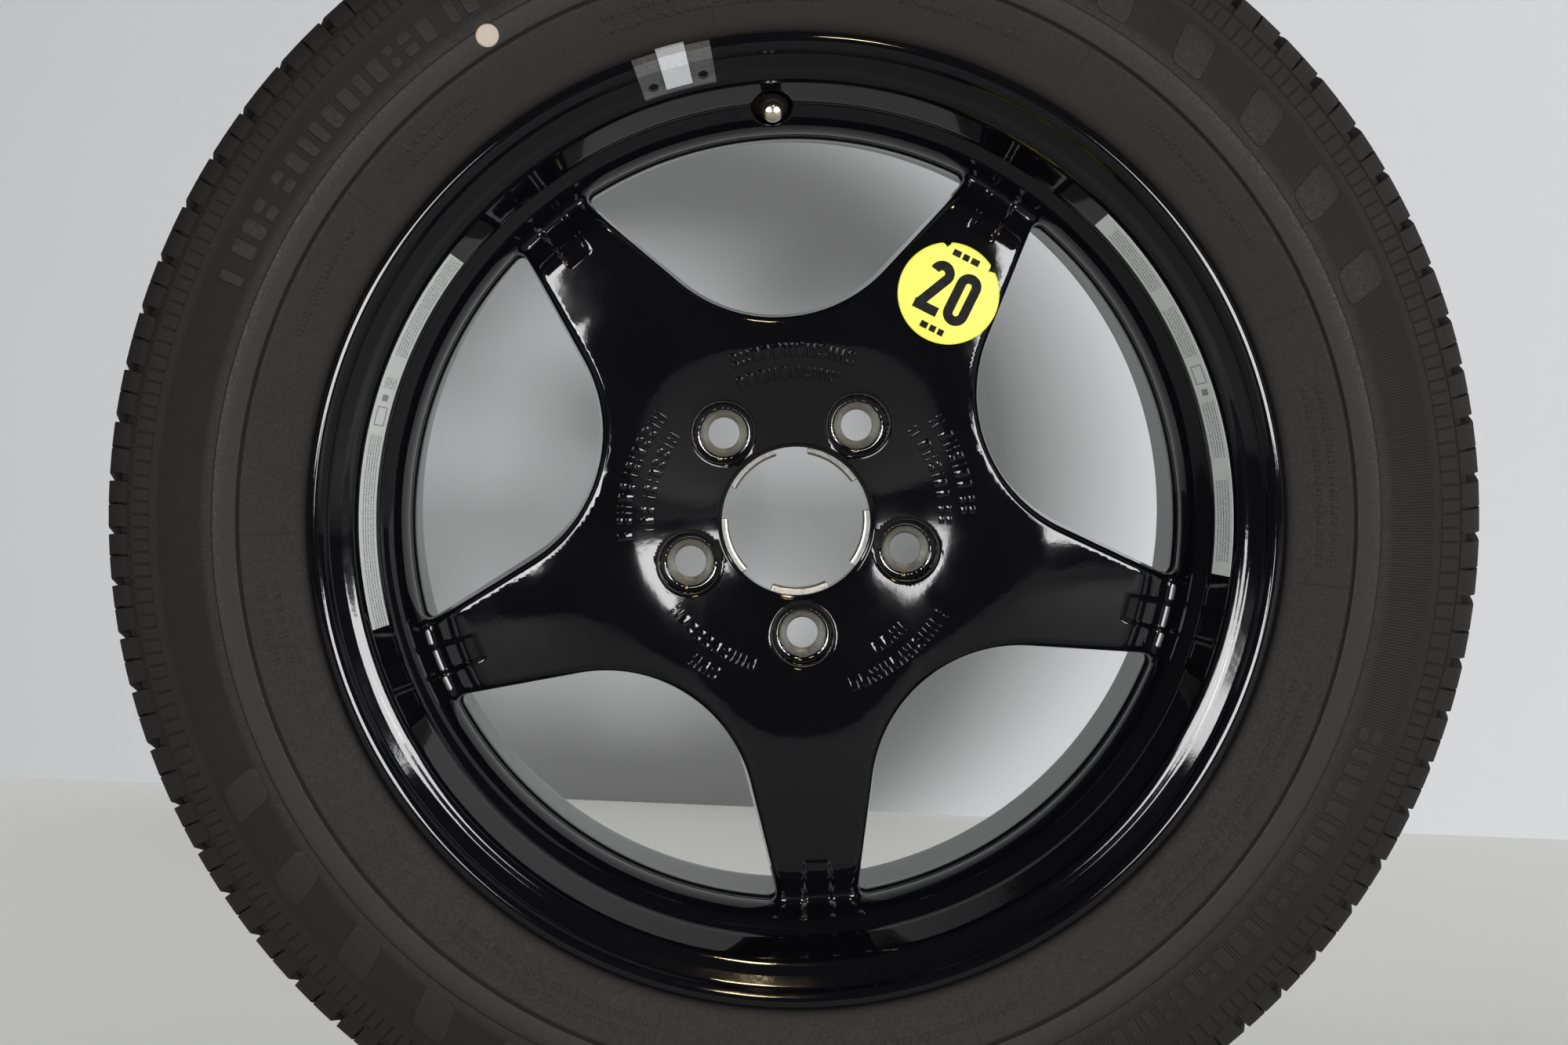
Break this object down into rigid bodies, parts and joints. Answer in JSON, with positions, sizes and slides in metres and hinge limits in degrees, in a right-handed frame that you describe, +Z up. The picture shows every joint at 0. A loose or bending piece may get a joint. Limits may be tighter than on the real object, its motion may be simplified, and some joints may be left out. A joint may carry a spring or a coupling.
{
  "type": "spare wheel",
  "caption": "Five-spoke cast road wheel with a mounted tyre, a snap-in valve with a screw cap, a clip-on balance weight and film labels.",
  "frame": {"origin": "on the axle, midway between the two rim flanges", "axes": "+Y inboard along the axle, +Z up through the valve, +X to the right seen from the outboard side"},
  "size_m": [0.6793, 0.233, 0.6792],
  "materials": {
    "paint": "gloss black paint",
    "tyre": "dull dark rubber",
    "rubber": "dull black rubber",
    "brass": "turned brass",
    "nickel": "nickel plate",
    "spring_steel": "drawn wire",
    "zinc": "dull cast zinc",
    "clip_steel": "pale coated steel",
    "gasket": "moulded fluoropolymer",
    "sticker_film": "yellow film",
    "label_film": "pale film"
  },
  "bodies": {
    "wheel_set": {"wheel": "paint", "tyre": "tyre", "valve_rubber": "rubber", "valve_stem": "brass", "core_plug": "brass", "core_barrel": "brass", "core_gasket": "gasket", "core_spring": "spring_steel", "balance_weight": "zinc", "weight_clip": "clip_steel", "speed_sticker": "sticker_film", "label_left": "label_film", "label_right": "label_film"},
    "core_needle": {"core_pin": "brass", "core_cup": "rubber"},
    "cap_ring": {"cap_seal": "rubber"},
    "cap": {"valve_cap": "nickel"}
  },
  "joints": [
    {"name": "core_press", "type": "slide", "parent": "wheel_set", "child": "core_needle", "axis": [0, 0.9613, 0.2756], "range_m": [0, 0.0012], "stiffness_N_per_m": 400, "springref_m": -0.002, "deforming": ["core_spring"]},
    {"name": "cap_lift", "type": "slide", "parent": "wheel_set", "child": "cap_ring", "axis": [0, -0.9613, -0.2756], "range_m": [0, 0.00397]},
    {"name": "cap_turn", "type": "hinge", "parent": "cap_ring", "child": "cap", "pos_m": [0, -0.0592, 0.207], "axis": [0, -0.9613, -0.2756], "range_deg": [0, 1800]}
  ],
  "couplings": [
    {"joint": "cap_turn", "follows": "cap_lift", "rad_per_m": 7913.3}
  ]
}
